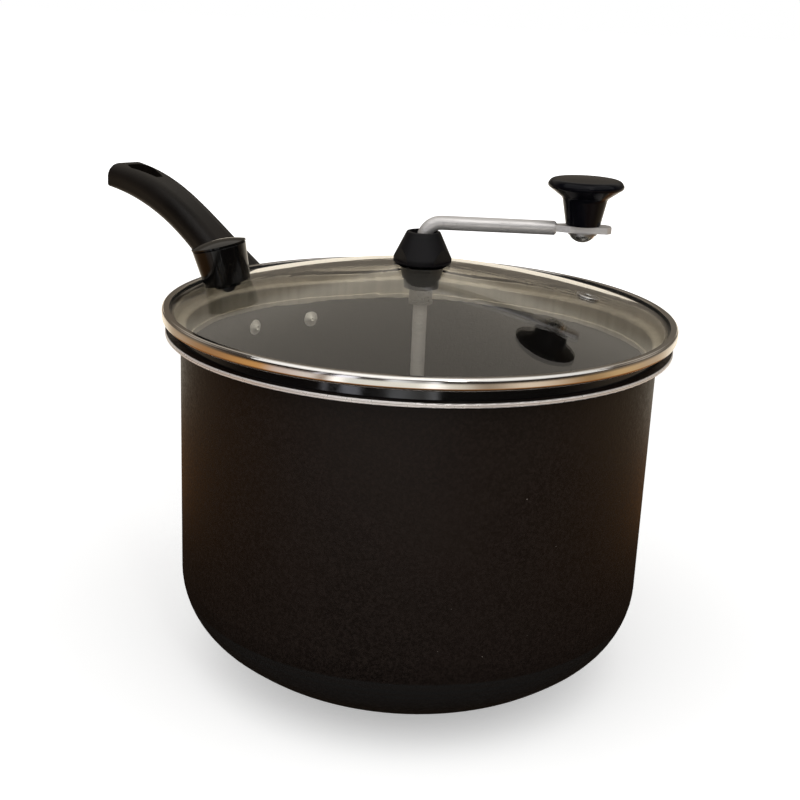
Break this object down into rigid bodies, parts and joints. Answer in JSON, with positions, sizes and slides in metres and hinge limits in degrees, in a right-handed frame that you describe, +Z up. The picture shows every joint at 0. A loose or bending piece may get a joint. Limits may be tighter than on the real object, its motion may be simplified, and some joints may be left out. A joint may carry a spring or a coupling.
{
  "type": "stovetop popcorn popper",
  "caption": "Deep dark cooking pot with a curved side handle and a domed glass lid in a steel band, turned by a bent crank with a mushroom knob.",
  "frame": {"origin": "centre of the pot's flat base", "axes": "+Z up along the pot's axis, +X along the crank arm at rest, the handle leaves the pot at 132.5 degrees from +X towards +Y"},
  "size_m": [0.3125, 0.3284, 0.2399],
  "materials": {
    "pot_metal": "dark brown-black matte coating with a fine leathery grain, bare bright lip edge",
    "bracket_metal": "black satin paint",
    "bare_aluminium": "turned, satin",
    "grip_plastic": "dark brown-black moulded plastic, satin",
    "plain_steel": "plain, satin",
    "rod_steel": "fine brushed",
    "clear_glass": "clear, smooth",
    "polished_steel": "polished",
    "black_rubber": "matte",
    "gloss_black": "glossy black",
    "hub_plastic": "matte black, fine grain"
  },
  "bodies": {
    "pot": {"pot_shell": "pot_metal", "handle_bracket": "bracket_metal", "handle_rivets": "bare_aluminium", "handle_grip": "grip_plastic", "handle_screw": "plain_steel"},
    "lid": {"lid_glass": "clear_glass", "lid_band": "polished_steel", "glass_edge_seal": "black_rubber", "vent_grommet": "polished_steel", "thumb_knob": "gloss_black", "thumb_knob_cap": "gloss_black", "thumb_knob_washer": "black_rubber", "thumb_knob_gasket": "black_rubber", "thumb_knob_screw": "plain_steel", "hub_housing": "hub_plastic", "hub_gasket_ring": "black_rubber", "hub_bush": "plain_steel", "nut_gasket_ring": "black_rubber", "hub_nut": "bare_aluminium"},
    "crank": {"crank_rod": "rod_steel", "shaft_clips": "plain_steel", "thrust_washers": "plain_steel", "stirrer_boss": "bare_aluminium", "boss_screw": "plain_steel", "stirrer_wire": "rod_steel", "knob_spindle": "plain_steel", "spindle_washer_ring": "plain_steel"},
    "crank_knob": {"crank_knob": "gloss_black", "crank_knob_plug": "gloss_black"}
  },
  "joints": [
    {"name": "lid_lift", "type": "slide", "parent": "pot", "child": "lid", "axis": [0, 0, 1], "range_m": [0, 0.2]},
    {"name": "crank_spin", "type": "hinge", "parent": "lid", "child": "crank", "pos_m": [0, 0, 0.205], "axis": [0, 0, 1], "continuous": true},
    {"name": "knob_spin", "type": "hinge", "parent": "crank", "child": "crank_knob", "pos_m": [0.0732, 0, 0.218], "axis": [0, 0, 1], "continuous": true}
  ]
}
